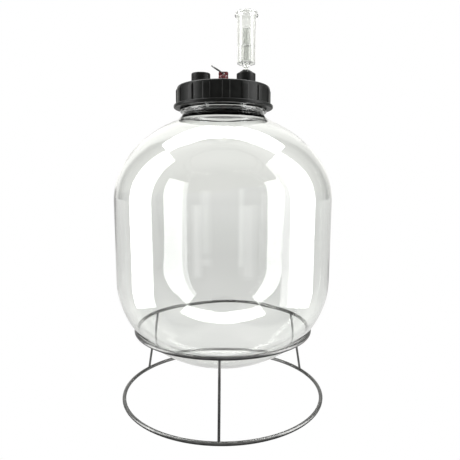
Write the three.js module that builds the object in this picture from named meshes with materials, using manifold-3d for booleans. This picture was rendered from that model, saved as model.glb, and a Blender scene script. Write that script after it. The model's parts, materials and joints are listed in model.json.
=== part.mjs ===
// A round-bottomed fermentation carboy in a wire ring stand, with a screw-on lid, two capped ports,
// a three-piece airlock and a pressure relief valve. Millimetres, +Z up. The origin is the centre of
// the stand's base ring, on the floor.
import * as THREE from "three";
import { mergeVertices } from "three/addons/utils/BufferGeometryUtils.js";
import Module from "manifold-3d";

const wasm = await Module();
wasm.setup();

// ---------------------------------------------------------------- driving dimensions

const GAP = 0.3; // between pieces that touch
const ROUND = 48; // sides of the large round pieces
const SMALL_ROUND = 24; // sides of the caps and the airlock
const TINY_ROUND = 16; // sides of the relief valve's pieces

const WIRE = { ringRadius: 3, legRadius: 2, sides: 8 };
const BASE_RING_RADIUS = 165;
const TOP_RING = { radius: 143.5, z: 115 };
const LEG_ANGLES = { stand_front_leg: -90, stand_right_leg: 30, stand_left_leg: 150 }; // degrees from +X

const WALL = 2.5; // glass of the body
const BODY = { topRadius: 174, bottomRadius: 172.8, topZ: 327, bottomZ: 204 };
const BOWL = { depth: 146.3, squareness: 2.06, steps: 8 }; // the round bottom, a superellipse
const SHOULDER = { width: 188.6, height: 142.9, endAngle: 62.2, steps: 6 }; // part of an ellipse
const NECK = { waistRadius: 62, waistZ: 465.5, flareRadius: 71.5, flareZ: 455.2, boreRadius: 56.5 };
const NECK_RING = { radius: 68.7, bottomZ: 465.5, topZ: 469.6, edge: 1 };
const FINISH = { radius: 62.5, topZ: 494.6, edge: 0.8 };

// A screw thread: the ridge on the outer piece lies under the ridge on the inner one by offset.
const NECK_THREAD = {
  pitch: 6, innerRoot: FINISH.radius, innerCrest: 66, outerRoot: 69, outerCrest: 63.3,
  rootWidth: 2.6, crestWidth: 1.4, offset: 2.15, z: 479, stepsPerTurn: 32,
  innerSpan: [0, 504], outerSpan: [-110, 270],
};
const PORT_THREAD = {
  pitch: 2.7, innerRoot: 12, innerCrest: 13.5, outerRoot: 14.3, outerCrest: 12.5,
  rootWidth: 1.1, crestWidth: 0.6, offset: 1.3, z: 514.5, stepsPerTurn: SMALL_ROUND,
  innerSpan: [0, 450], outerSpan: [-120, 250],
};

const COLLAR = {
  outerRadius: 73.8, topZ: 505.5, bottomZ: 472, lipRadius: 57, lipThickness: 3.5, edge: 3.6,
  beadRadius: 79.2, beadTopZ: 477.6, beadEdge: 1.4,
};
const GRIP = { count: 16, width: 11.8, crestRadius: 75.5, phase: -85.2, bottomZ: 477, topZ: 501.5 };

const LID = {
  flangeRadius: 62.8, flangeThickness: 4, bossRadius: 56.4, topZ: 507.5, plateThickness: 4,
  plugRadius: 56, plugInnerRadius: 53, plugBottomZ: 488.5, valveHoleRadius: 6.3,
};
const SEAL = { innerRadius: 57.6, outerRadius: 62.2, thickness: 2.5 };
const PORT = { x: 36, boreRadius: 10.5, topZ: 523.5 };

const CAP = { radius: 15.1, topZ: 527.6, bottomZ: 508.4, topThickness: 2, edge: 1.4, grommetHole: 6.9 };
const LINER = { radius: 13.7, thickness: 1.5 };
const GROMMET = {
  flangeRadius: 8.1, neckRadius: 6.6, holeRadius: 4.75, flange: 3.2,
  skirtRadius: 11.8, shoulderRadius: 8.6, shoulderZ: 530.9, crownRadius: 6.2, topZ: 532.6,
};

const LOCK = {
  floorZ: 542.3, rimZ: 618.5, bottomRadius: 14.3, topRadius: 15.2, wall: 1.2, coneZ: 536.2, coneRadius: 7,
  stemTopRadius: 4.4, stemBottomRadius: 3.6, stemBottomZ: 516, riserRadius: 4.2, boreRadius: 2.5,
};
const FLOAT = {
  bottomZ: 546, stepZ: 570.5, topZ: 596.6, skirtRadius: 8.4, capRadius: 6.3, wall: 1,
  knobRadius: 2, knobTopZ: 600.6,
};
const LOCK_LID = {
  skirtZ: 614.6, shoulderZ: 620.7, topZ: 622.7, skirtRadius: 18.9, shoulderRadius: 17, domeRadius: 9.5,
  wall: 1.4, ventCount: 6, ventRadius: 1.1, ventCircle: 12.6,
};

const VALVE = {
  flangeRadius: 8.4, flangeBottomZ: 509.3, topZ: 519, boreRadius: 5.2, shankRadius: 6, bottomZ: 497,
  seatZ: 500, inletRadius: 2.6, washerRadius: 8.2, washerInnerRadius: 6.3,
};
const BONNET = { radius: 7.8, bottomZ: 519.3, topZ: 524, holeRadius: 2, plugBottomZ: 516.5, plugRadius: 4.9 };
const STEM = { radius: 1.6, discRadius: 4.6, discZ: 502.6, discTopZ: 504.4 };
const TAB = {
  halfWidth: 7.7, thickness: 4, edge: 1.4, bottomZ: 524.5, topZ: 530.5, eyeZ: 527.7, eyeRadius: 1.7,
};
const SEAT_DISC = { radius: 4.4, topZ: 502.3, bottomZ: 500.4 };
const SPRING = { coilRadius: 3.3, wireRadius: 0.45, turns: 5, stepsPerTurn: 9, bottomZ: 505.2, topZ: 515.7 };
const PULL_RING = { radius: 11, wireRadius: 0.9, angle: 32.5, twist: 7.5 }; // it leans up, to the left

const RIDGE = { sunk: 0.6, fade: 0.06, lowest: 0.2 }; // a thread ridge's foot, and its fading ends

const COLOURS = {
  glass: { color: 0xe8efec, roughness: 0.03, metalness: 0 },
  lockPlastic: { color: 0xf0f2ee, roughness: 0.12, metalness: 0 },
  black: { color: 0x161817, roughness: 0.45, metalness: 0 },
  rubber: { color: 0x0e0f0f, roughness: 0.7, metalness: 0 },
  red: { color: 0xa5121c, roughness: 0.35, metalness: 0 },
  steel: { color: 0xb9bbbb, roughness: 0.22, metalness: 1 },
  liner: { color: 0xdcdcd6, roughness: 0.6, metalness: 0 },
};

// ---------------------------------------------------------------- geometry helpers

const radians = (degrees) => (degrees * Math.PI) / 180;

// Points on part of an ellipse, from one angle to another in degrees. A squareness over 2 fills its
// corners.
function ellipse(centreR, centreZ, width, height, from, to, steps, squareness = 2) {
  return Array.from({ length: steps + 1 }, (_, i) => {
    const angle = radians(from + ((to - from) * i) / steps);
    const cos = Math.max(0, Math.cos(angle)) ** (2 / squareness);
    const sin = Math.sign(Math.sin(angle)) * Math.abs(Math.sin(angle)) ** (2 / squareness);
    return [centreR + width * cos, centreZ + height * sin];
  });
}

// A closed mesh whose shared vertices are merged, as a solid for joining and cutting.
function solid(geometry) {
  const bare = new THREE.BufferGeometry();
  bare.setAttribute("position", geometry.getAttribute("position"));
  if (geometry.index) bare.setIndex(geometry.index);
  const merged = mergeVertices(bare, 1e-3);
  return new wasm.Manifold(
    new wasm.Mesh({
      numProp: 3,
      vertProperties: merged.attributes.position.array,
      triVerts: new Uint32Array(merged.index.array),
    }),
  );
}

// A solid as a flat-shaded geometry.
function geometryOf(shape) {
  const { numProp, numVert, vertProperties, triVerts } = shape.getMesh();
  const positions = new Float32Array(numVert * 3);
  for (let i = 0; i < numVert; i++)
    positions.set(vertProperties.subarray(i * numProp, i * numProp + 3), i * 3);
  const indexed = new THREE.BufferGeometry();
  indexed.setAttribute("position", new THREE.BufferAttribute(positions, 3));
  indexed.setIndex(new THREE.BufferAttribute(triVerts, 1));
  const flat = indexed.toNonIndexed();
  flat.computeVertexNormals();
  return flat;
}

// A profile of [radius, z] points turned about Z. It starts and ends on the axis, or closes on itself.
function turned(profile, sides) {
  const closed = profile[0][0] > 0;
  const points = closed ? [...profile, profile[0]] : profile;
  let area = 0;
  points.forEach(([r, z], i) => {
    const [nextR, nextZ] = points[(i + 1) % points.length];
    area += r * nextZ - nextR * z;
  });
  const outward = area > 0 ? points : [...points].reverse();
  const lathe = new THREE.LatheGeometry(outward.map(([r, z]) => new THREE.Vector2(r, z)), sides);
  return solid(lathe.rotateX(Math.PI / 2));
}

function cylinder(radius, bottomZ, topZ, sides = SMALL_ROUND) {
  return turned([[0, bottomZ], [radius, bottomZ], [radius, topZ], [0, topZ]], sides);
}

// A ring of round wire lying flat: its section has a flat side underneath.
function wireRing(radius, z, wireRadius, sides = ROUND) {
  const corner = wireRadius / Math.cos(Math.PI / WIRE.sides);
  const section = Array.from({ length: WIRE.sides }, (_, i) => {
    const angle = ((i + 0.5) * 2 * Math.PI) / WIRE.sides;
    return [radius + corner * Math.cos(angle), z + corner * Math.sin(angle)];
  });
  return turned(section, sides);
}

// A straight rod between two points.
function rod(from, to, radius, sides = WIRE.sides) {
  const along = new THREE.Vector3().subVectors(to, from);
  const geometry = new THREE.CylinderGeometry(radius, radius, along.length(), sides);
  const upright = new THREE.Vector3(0, 1, 0);
  geometry.applyQuaternion(new THREE.Quaternion().setFromUnitVectors(upright, along.normalize()));
  const middle = new THREE.Vector3().addVectors(from, to).multiplyScalar(0.5);
  return solid(geometry.translate(middle.x, middle.y, middle.z));
}

// A closed strip swept round Z: section(share) gives its four corners [radius, z] at each step.
function sweptRound(section, fromAngle, toAngle, steps) {
  const positions = [];
  const indices = [];
  for (let i = 0; i <= steps; i++) {
    const share = i / steps;
    const angle = fromAngle + (toAngle - fromAngle) * share;
    for (const [r, z] of section(share)) positions.push(r * Math.cos(angle), r * Math.sin(angle), z);
  }
  for (let i = 0; i < steps; i++)
    for (let side = 0; side < 4; side++) {
      const a = i * 4 + side;
      const b = i * 4 + ((side + 1) % 4);
      indices.push(a, a + 4, b, b, a + 4, b + 4);
    }
  const last = steps * 4;
  indices.push(0, 1, 2, 0, 2, 3, last, last + 2, last + 1, last, last + 3, last + 2);
  const geometry = new THREE.BufferGeometry();
  geometry.setAttribute("position", new THREE.Float32BufferAttribute(positions, 3));
  geometry.setIndex(indices);
  return solid(geometry);
}

// One helical thread ridge. Its height fades at both ends, and its foot is sunk into the wall.
function threadRidge(thread, side) {
  const inner = side === "inner";
  const [from, to] = inner ? thread.innerSpan : thread.outerSpan;
  const root = inner ? thread.innerRoot : thread.outerRoot;
  const crest = inner ? thread.innerCrest : thread.outerCrest;
  const foot = root + (inner ? -RIDGE.sunk : RIDGE.sunk);
  const startZ = thread.z + (thread.pitch * from) / 360 - (inner ? 0 : thread.offset);
  const rise = (thread.pitch * (to - from)) / 360;
  const section = (share) => {
    const height = Math.min(1, RIDGE.lowest + Math.min(share, 1 - share) / RIDGE.fade);
    const tip = root + (crest - root) * height;
    const z = startZ + rise * share;
    const corners = [
      [foot, z - thread.rootWidth / 2],
      [tip, z - thread.crestWidth / 2],
      [tip, z + thread.crestWidth / 2],
      [foot, z + thread.rootWidth / 2],
    ];
    return inner ? corners : corners.reverse();
  };
  const steps = Math.round((thread.stepsPerTurn * (to - from)) / 360);
  return sweptRound(section, radians(from), radians(to), steps);
}

const parts = new THREE.Group();

function add(name, shape, look) {
  const mesh = new THREE.Mesh(geometryOf(shape), new THREE.MeshStandardMaterial(COLOURS[look]));
  mesh.name = name;
  parts.add(mesh);
}

// ---------------------------------------------------------------- the wire stand

function addStand() {
  const baseZ = WIRE.ringRadius;
  add("stand_base_ring", wireRing(BASE_RING_RADIUS, baseZ, WIRE.ringRadius), "steel");
  add("stand_top_ring", wireRing(TOP_RING.radius, TOP_RING.z, WIRE.ringRadius), "steel");
  // Each leg is coped round both rings, where it is welded.
  const clearance = wireRing(BASE_RING_RADIUS, baseZ, WIRE.ringRadius + GAP).add(
    wireRing(TOP_RING.radius, TOP_RING.z, WIRE.ringRadius + GAP),
  );
  for (const [name, degrees] of Object.entries(LEG_ANGLES)) {
    const outwards = new THREE.Vector3(Math.cos(radians(degrees)), Math.sin(radians(degrees)), 0);
    const foot = outwards.clone().multiplyScalar(BASE_RING_RADIUS).setZ(baseZ);
    const head = outwards.clone().multiplyScalar(TOP_RING.radius).setZ(TOP_RING.z);
    add(name, rod(foot, head, WIRE.legRadius).subtract(clearance), "steel");
  }
}

// ---------------------------------------------------------------- the glass vessel

// The bowl, the wall and the shoulder, set in from the outer surface.
function bodyProfile(inset) {
  const centreR = BODY.topRadius - SHOULDER.width;
  const bowl = [BODY.bottomRadius - inset, BOWL.depth - inset, -90, 0, BOWL.steps, BOWL.squareness];
  const shoulder = [SHOULDER.width - inset, SHOULDER.height - inset, 0, SHOULDER.endAngle, SHOULDER.steps];
  return [...ellipse(0, BODY.bottomZ, ...bowl), ...ellipse(centreR, BODY.topZ, ...shoulder)];
}

function addVessel() {
  const outside = [
    ...bodyProfile(0),
    [NECK.flareRadius, NECK.flareZ],
    [NECK.waistRadius, NECK.waistZ],
    [NECK_RING.radius - NECK_RING.edge, NECK_RING.bottomZ],
    [NECK_RING.radius, NECK_RING.bottomZ + NECK_RING.edge],
    [NECK_RING.radius, NECK_RING.topZ - NECK_RING.edge],
    [NECK_RING.radius - NECK_RING.edge, NECK_RING.topZ],
    [FINISH.radius, NECK_RING.topZ],
    [FINISH.radius, FINISH.topZ - FINISH.edge],
    [FINISH.radius - FINISH.edge, FINISH.topZ],
  ];
  const flareShift = WALL * Math.SQRT1_2; // the flare is cut at about 45 degrees
  const inside = [
    ...bodyProfile(WALL),
    [NECK.flareRadius - flareShift, NECK.flareZ - flareShift],
    [NECK.boreRadius, NECK.waistZ - flareShift],
    [NECK.boreRadius, FINISH.topZ - FINISH.edge],
    [NECK.boreRadius + FINISH.edge, FINISH.topZ],
  ];
  const shell = turned([...outside, ...inside.reverse()], ROUND);
  add("vessel", shell.add(threadRidge(NECK_THREAD, "inner")), "glass");
}

// ---------------------------------------------------------------- the lid and its collar

function addLid() {
  const flangeTop = COLLAR.topZ - COLLAR.lipThickness - GAP;
  const flangeBottom = flangeTop - LID.flangeThickness;
  let plate = turned(
    [
      [LID.valveHoleRadius, LID.topZ],
      [LID.bossRadius - 1, LID.topZ],
      [LID.bossRadius, LID.topZ - 1],
      [LID.bossRadius, flangeTop],
      [LID.flangeRadius, flangeTop],
      [LID.flangeRadius, flangeBottom],
      [LID.plugRadius, flangeBottom],
      [LID.plugRadius, LID.plugBottomZ],
      [LID.plugInnerRadius, LID.plugBottomZ],
      [LID.plugInnerRadius, LID.topZ - LID.plateThickness],
      [LID.valveHoleRadius, LID.topZ - LID.plateThickness],
    ],
    ROUND,
  );
  const sunk = LID.topZ - 1; // the post starts inside the plate
  for (const x of [-PORT.x, PORT.x]) {
    const post = cylinder(PORT_THREAD.innerRoot, sunk, PORT.topZ).add(threadRidge(PORT_THREAD, "inner"));
    const bore = cylinder(PORT.boreRadius, LID.plugBottomZ, PORT.topZ + 1);
    plate = plate.add(post.translate(x, 0, 0)).subtract(bore.translate(x, 0, 0));
  }
  add("lid_plate", plate, "black");

  const sealTop = flangeBottom - GAP;
  const sealBottom = sealTop - SEAL.thickness;
  const seal = [
    [SEAL.innerRadius, sealBottom],
    [SEAL.outerRadius, sealBottom],
    [SEAL.outerRadius, sealTop],
    [SEAL.innerRadius, sealTop],
  ];
  add("lid_seal", turned(seal, ROUND), "rubber");
}

function addCollar() {
  const lipBottom = COLLAR.topZ - COLLAR.lipThickness;
  let collar = turned(
    [
      [COLLAR.lipRadius, lipBottom],
      [COLLAR.lipRadius, COLLAR.topZ],
      [COLLAR.outerRadius - COLLAR.edge, COLLAR.topZ],
      [COLLAR.outerRadius, COLLAR.topZ - COLLAR.edge],
      [COLLAR.outerRadius, COLLAR.beadTopZ],
      [COLLAR.beadRadius - COLLAR.beadEdge, COLLAR.beadTopZ],
      [COLLAR.beadRadius, COLLAR.beadTopZ - COLLAR.beadEdge],
      [COLLAR.beadRadius, COLLAR.bottomZ + COLLAR.beadEdge],
      [COLLAR.beadRadius - COLLAR.beadEdge, COLLAR.bottomZ],
      [NECK_THREAD.outerRoot + 1, COLLAR.bottomZ],
      [NECK_THREAD.outerRoot, COLLAR.bottomZ + 1],
      [NECK_THREAD.outerRoot, lipBottom],
    ],
    ROUND,
  );
  const depth = GRIP.crestRadius - COLLAR.outerRadius + 2;
  const height = GRIP.topZ - GRIP.bottomZ;
  const rib = new THREE.BoxGeometry(depth, GRIP.width, height);
  rib.translate(GRIP.crestRadius - depth / 2, 0, GRIP.bottomZ + height / 2);
  for (let i = 0; i < GRIP.count; i++)
    collar = collar.add(solid(rib).rotate(0, 0, GRIP.phase + (360 * i) / GRIP.count));
  add("lid_collar", collar.add(threadRidge(NECK_THREAD, "outer")), "black");
}

// ---------------------------------------------------------------- the two port caps

function portCap(holeRadius) {
  const ceiling = CAP.topZ - CAP.topThickness;
  const shell = turned(
    [
      [holeRadius, ceiling],
      [PORT_THREAD.outerRoot, ceiling],
      [PORT_THREAD.outerRoot, CAP.bottomZ],
      [CAP.radius, CAP.bottomZ],
      [CAP.radius, CAP.topZ - CAP.edge],
      [CAP.radius - CAP.edge, CAP.topZ],
      [holeRadius, CAP.topZ],
    ],
    SMALL_ROUND,
  );
  return shell.add(threadRidge(PORT_THREAD, "outer"));
}

function addPortCaps() {
  const linerBottom = PORT.topZ + GAP;
  const liner = cylinder(LINER.radius, linerBottom, linerBottom + LINER.thickness);
  add("blank_port_cap", portCap(0).translate(-PORT.x, 0, 0), "black");
  add("blank_port_liner", liner.translate(-PORT.x, 0, 0), "liner");

  add("airlock_port_cap", portCap(CAP.grommetHole).translate(PORT.x, 0, 0), "black");
  const hole = cylinder(GROMMET.flangeRadius + GAP, linerBottom - 1, linerBottom + LINER.thickness + 1);
  add("airlock_port_liner", liner.subtract(hole).translate(PORT.x, 0, 0), "liner");

  const ceiling = CAP.topZ - CAP.topThickness - GAP;
  const domeBottom = CAP.topZ + GAP;
  const grommet = turned(
    [
      [GROMMET.holeRadius, ceiling - GROMMET.flange],
      [GROMMET.flangeRadius - 1, ceiling - GROMMET.flange],
      [GROMMET.flangeRadius, ceiling - GROMMET.flange + 1],
      [GROMMET.flangeRadius, ceiling],
      [GROMMET.neckRadius, ceiling],
      [GROMMET.neckRadius, domeBottom],
      [GROMMET.skirtRadius, domeBottom],
      [GROMMET.shoulderRadius, GROMMET.shoulderZ],
      [GROMMET.crownRadius, GROMMET.topZ],
      [GROMMET.holeRadius, GROMMET.topZ],
    ],
    SMALL_ROUND,
  );
  add("airlock_grommet", grommet.translate(PORT.x, 0, 0), "rubber");
}

// ---------------------------------------------------------------- the three-piece airlock

function addAirlock() {
  const floorTop = LOCK.floorZ + LOCK.wall;
  const riserTop = FLOAT.topZ - FLOAT.wall - GAP; // the float rests on it
  const body = turned(
    [
      [LOCK.boreRadius, LOCK.stemBottomZ],
      [LOCK.stemBottomRadius, LOCK.stemBottomZ],
      [LOCK.stemTopRadius, LOCK.coneZ],
      [LOCK.coneRadius, LOCK.floorZ],
      [LOCK.bottomRadius, LOCK.floorZ],
      [LOCK.topRadius, LOCK.rimZ],
      [LOCK.topRadius - LOCK.wall, LOCK.rimZ],
      [LOCK.bottomRadius - LOCK.wall, floorTop],
      [LOCK.riserRadius, floorTop],
      [LOCK.riserRadius, riserTop],
      [LOCK.boreRadius, riserTop],
    ],
    SMALL_ROUND,
  );
  add("airlock_body", body.translate(PORT.x, 0, 0), "lockPlastic");

  const float = turned(
    [
      [0, FLOAT.topZ - FLOAT.wall],
      [FLOAT.capRadius - FLOAT.wall, FLOAT.topZ - FLOAT.wall],
      [FLOAT.capRadius - FLOAT.wall, FLOAT.stepZ - FLOAT.wall],
      [FLOAT.skirtRadius - FLOAT.wall, FLOAT.stepZ - FLOAT.wall],
      [FLOAT.skirtRadius - FLOAT.wall, FLOAT.bottomZ],
      [FLOAT.skirtRadius, FLOAT.bottomZ],
      [FLOAT.skirtRadius, FLOAT.stepZ],
      [FLOAT.capRadius, FLOAT.stepZ],
      [FLOAT.capRadius, FLOAT.topZ],
      [FLOAT.knobRadius, FLOAT.topZ],
      [FLOAT.knobRadius, FLOAT.knobTopZ],
      [0, FLOAT.knobTopZ],
    ],
    SMALL_ROUND,
  );
  add("airlock_float", float.translate(PORT.x, 0, 0), "lockPlastic");

  const { wall } = LOCK_LID;
  const ceiling = LOCK_LID.shoulderZ - wall;
  let lid = turned(
    [
      [0, LOCK_LID.topZ - wall],
      [LOCK_LID.domeRadius - wall, LOCK_LID.topZ - wall],
      [LOCK_LID.domeRadius - wall, ceiling],
      [LOCK.topRadius + GAP, ceiling],
      [LOCK.topRadius + GAP + 0.2, LOCK_LID.skirtZ],
      [LOCK_LID.skirtRadius, LOCK_LID.skirtZ],
      [LOCK_LID.shoulderRadius, LOCK_LID.shoulderZ],
      [LOCK_LID.domeRadius, LOCK_LID.shoulderZ],
      [LOCK_LID.domeRadius, LOCK_LID.topZ - 1],
      [LOCK_LID.domeRadius - 1, LOCK_LID.topZ],
      [0, LOCK_LID.topZ],
    ],
    SMALL_ROUND,
  );
  for (let i = 0; i < LOCK_LID.ventCount; i++) {
    const vent = cylinder(LOCK_LID.ventRadius, ceiling - 1, LOCK_LID.shoulderZ + 1, 8);
    const turn = (360 * i) / LOCK_LID.ventCount;
    lid = lid.subtract(vent.translate(LOCK_LID.ventCircle, 0, 0).rotate(0, 0, turn));
  }
  add("airlock_lid", lid.translate(PORT.x, 0, 0), "lockPlastic");
}

// ---------------------------------------------------------------- the relief valve in the lid's middle

function addValveBody() {
  const washerTop = VALVE.flangeBottomZ - GAP;
  const washer = [
    [VALVE.washerInnerRadius, LID.topZ + GAP],
    [VALVE.washerRadius, LID.topZ + GAP],
    [VALVE.washerRadius, washerTop],
    [VALVE.washerInnerRadius, washerTop],
  ];
  add("relief_valve_washer", turned(washer, TINY_ROUND), "rubber");

  const body = turned(
    [
      [VALVE.inletRadius, VALVE.bottomZ],
      [VALVE.shankRadius, VALVE.bottomZ],
      [VALVE.shankRadius, VALVE.flangeBottomZ],
      [VALVE.flangeRadius, VALVE.flangeBottomZ],
      [VALVE.flangeRadius, VALVE.topZ],
      [VALVE.boreRadius, VALVE.topZ],
      [VALVE.boreRadius, VALVE.seatZ],
      [VALVE.inletRadius, VALVE.seatZ],
    ],
    TINY_ROUND,
  );
  add("relief_valve_body", body, "red");

  const bonnet = turned(
    [
      [BONNET.holeRadius, BONNET.plugBottomZ],
      [BONNET.plugRadius, BONNET.plugBottomZ],
      [BONNET.plugRadius, BONNET.bottomZ],
      [BONNET.radius, BONNET.bottomZ],
      [BONNET.radius, BONNET.topZ - 1],
      [BONNET.radius - 1, BONNET.topZ],
      [BONNET.holeRadius, BONNET.topZ],
    ],
    TINY_ROUND,
  );
  add("relief_valve_bonnet", bonnet, "red");
}

function addValveStem() {
  const rodAndDisc = turned(
    [
      [0, STEM.discZ],
      [STEM.discRadius, STEM.discZ],
      [STEM.discRadius, STEM.discTopZ],
      [STEM.radius, STEM.discTopZ],
      [STEM.radius, TAB.bottomZ + 1],
      [0, TAB.bottomZ + 1],
    ],
    TINY_ROUND,
  );
  const outline = new THREE.Shape();
  const { halfWidth, edge, thickness } = TAB;
  outline.moveTo(-halfWidth, TAB.bottomZ);
  outline.lineTo(halfWidth, TAB.bottomZ);
  outline.lineTo(halfWidth, TAB.topZ - edge);
  outline.lineTo(halfWidth - edge, TAB.topZ);
  outline.lineTo(edge - halfWidth, TAB.topZ);
  outline.lineTo(-halfWidth, TAB.topZ - edge);
  outline.closePath();
  const eye = new THREE.Path();
  eye.absarc(0, TAB.eyeZ, TAB.eyeRadius, 0, 2 * Math.PI);
  outline.holes.push(eye);
  const tab = new THREE.ExtrudeGeometry(outline, { depth: thickness, bevelEnabled: false, curveSegments: 6 });
  tab.rotateX(Math.PI / 2).translate(0, thickness / 2, 0);
  add("relief_valve_stem", rodAndDisc.add(solid(tab)), "red");
  const seatDisc = cylinder(SEAT_DISC.radius, SEAT_DISC.bottomZ, SEAT_DISC.topZ, TINY_ROUND);
  add("relief_valve_seat_disc", seatDisc, "rubber");
}

// The coil of the valve's spring: a helix of round wire with open ends.
class CoilCurve extends THREE.Curve {
  getPoint(share) {
    const angle = 2 * Math.PI * SPRING.turns * share;
    const z = SPRING.bottomZ + (SPRING.topZ - SPRING.bottomZ) * share;
    return new THREE.Vector3(SPRING.coilRadius * Math.cos(angle), SPRING.coilRadius * Math.sin(angle), z);
  }
}

function addValveSpringAndRing() {
  const section = new THREE.Shape();
  section.absarc(0, 0, SPRING.wireRadius, 0, 2 * Math.PI);
  const sweep = {
    steps: SPRING.turns * SPRING.stepsPerTurn, extrudePath: new CoilCurve(), curveSegments: 3,
    bevelEnabled: false,
  };
  add("relief_valve_spring", solid(new THREE.ExtrudeGeometry(section, sweep)), "steel");

  const lean = radians(PULL_RING.angle);
  const ring = wireRing(PULL_RING.radius, 0, PULL_RING.wireRadius, SMALL_ROUND)
    .rotate(PULL_RING.twist, PULL_RING.angle, 0)
    .translate(-PULL_RING.radius * Math.cos(lean), 0, TAB.eyeZ + PULL_RING.radius * Math.sin(lean));
  add("relief_valve_pull_ring", ring, "steel");
}

addStand();
addVessel();
addLid();
addCollar();
addPortCaps();
addAirlock();
addValveBody();
addValveStem();
addValveSpringAndRing();

export default parts;
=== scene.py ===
"""The looks of a fermentation carboy: a clear vessel in a wire stand, with a ribbed screw lid,
two port caps, a three-piece airlock and a relief valve. Sizes are in millimetres up to the studio,
and MM turns them into the frame's metres. +Z is up."""

import json
import math
from types import SimpleNamespace as Sizes

import bmesh
import bpy
from mathutils import Matrix, Quaternion, Vector


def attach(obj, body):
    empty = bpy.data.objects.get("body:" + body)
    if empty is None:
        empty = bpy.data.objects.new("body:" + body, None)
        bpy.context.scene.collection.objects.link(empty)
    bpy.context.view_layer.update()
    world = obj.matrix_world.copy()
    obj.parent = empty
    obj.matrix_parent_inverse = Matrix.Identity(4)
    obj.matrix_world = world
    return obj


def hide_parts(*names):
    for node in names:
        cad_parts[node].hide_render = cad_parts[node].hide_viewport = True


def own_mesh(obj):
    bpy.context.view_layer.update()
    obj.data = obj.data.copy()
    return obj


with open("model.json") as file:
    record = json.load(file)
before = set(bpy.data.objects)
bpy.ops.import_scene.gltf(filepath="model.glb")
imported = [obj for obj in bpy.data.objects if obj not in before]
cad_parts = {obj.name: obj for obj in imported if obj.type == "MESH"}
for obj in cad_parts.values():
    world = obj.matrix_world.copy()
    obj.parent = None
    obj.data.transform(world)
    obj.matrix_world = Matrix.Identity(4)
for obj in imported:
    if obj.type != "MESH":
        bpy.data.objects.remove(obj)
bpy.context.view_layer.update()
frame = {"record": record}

MM = 0.001
BODIES = frame["record"]["behaviour"]["bodies"]
BODY_OF = {node: body for body, nodes in BODIES.items() for node in nodes}

# ------------------------------------------------------------------ sizes, in millimetres

WIRE = Sizes(ring_r=3, leg_r=2)
BASE_RING = Sizes(r=165, z=3)
TOP_RING = Sizes(r=143.5, z=115)
LEG_ANGLES = {"stand_front_leg": -90, "stand_right_leg": 30, "stand_left_leg": 150}

WALL = 2.5
BODY = Sizes(top_r=174, bottom_r=172.8, top_z=327, bottom_z=204)
BOWL = Sizes(depth=146.3, squareness=2.06)
SHOULDER = Sizes(width=188.6, height=142.9, end=62.2)
NECK = Sizes(flare_r=71.5, flare_z=455.2, waist_r=62, waist_z=465.5, bore_r=56.5)
NECK_RING = Sizes(r=68.7, bottom_z=465.5, top_z=469.6)
FINISH = Sizes(r=62.5, top_z=494.6)
# Swells in the blown wall: their height, how many go round it, and how far up it they take for a radian.
SWELLS = ((0.10, 3, 60), (0.05, 7, -35), (0.03, 12, 90))

# A screw thread's ridge runs through height z at angle 0, between the two angles of its span, in degrees.
# The ridge is as wide as root at its foot and as crest at its top. The wall under it has a point every
# step from low to high.
NECK_THREAD = Sizes(pitch=6, z=479, span=(0, 504), root=2.6, crest=1.4, height=3.5,
                    low=477, high=490, step=0.35)
COLLAR_THREAD = Sizes(pitch=6, z=476.85, span=(-110, 270), root=2.6, crest=1.4, height=5.7,
                      low=474.5, high=483.5, step=0.35)
POST_THREAD = Sizes(pitch=2.7, z=514.5, span=(0, 450), root=1.1, crest=0.6, height=1.5,
                    low=509, high=519.6, step=0.25)
CAP_THREAD = Sizes(pitch=2.7, z=513.2, span=(-120, 250), root=1.1, crest=0.6, height=1.8,
                   low=510, high=517.5, step=0.25)
THREAD_FADE = 25  # degrees in which a ridge comes up and runs out

COLLAR = Sizes(r=73.8, edge=3.6, top_z=505.5, bottom_z=472, lip_r=57, lip=3.5, inner_r=69,
               bead_r=79.2, bead_z=477.6)
# Widths and the phase are in degrees. At the top, the ribs run out into the collar's round edge.
RIBS = Sizes(count=16, half_width=4.7, edge=1.0, phase=-85.2, height=1.7, low=477.8, high=502.4,
             run_out=2.5)
PLATE = Sizes(hole_r=6.3, hub_r=11.5, border_r=51.5, boss_r=56.4, flange_r=62.8, plug_r=56,
              plug_inner_r=53, top_z=507.5, sunk_z=506.7, underside_z=503.5, flange_top_z=501.7,
              flange_bottom_z=497.7, plug_bottom_z=488.5)
SEAL = Sizes(inner_r=57.6, r=62.2, bottom_z=494.9, top_z=497.4)

POST = Sizes(x=36, bore_r=10.5, foot_r=12.8, r=12, bottom_z=505, foot_z=507.4, neck_z=508, top_z=523.5)
CAP = Sizes(r=15.1, top_z=527.6, bottom_z=508.4, inner_r=14.3, ceiling_z=525.6, hole_r=6.9)
FLUTES = Sizes(count=90, depth=0.12)
LINER = Sizes(r=13.7, hole_r=8.4, bottom_z=523.8, top_z=525.3)
GROMMET = Sizes(hole_r=4.75, flange_r=8.1, neck_r=6.6, skirt_r=11.8, shoulder_r=8.6, crown_r=6.2,
                bottom_z=522.1, flange_top_z=525.3, skirt_z=527.9, skirt_top_z=528.7, shoulder_z=530.9,
                top_z=532.6)

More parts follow.
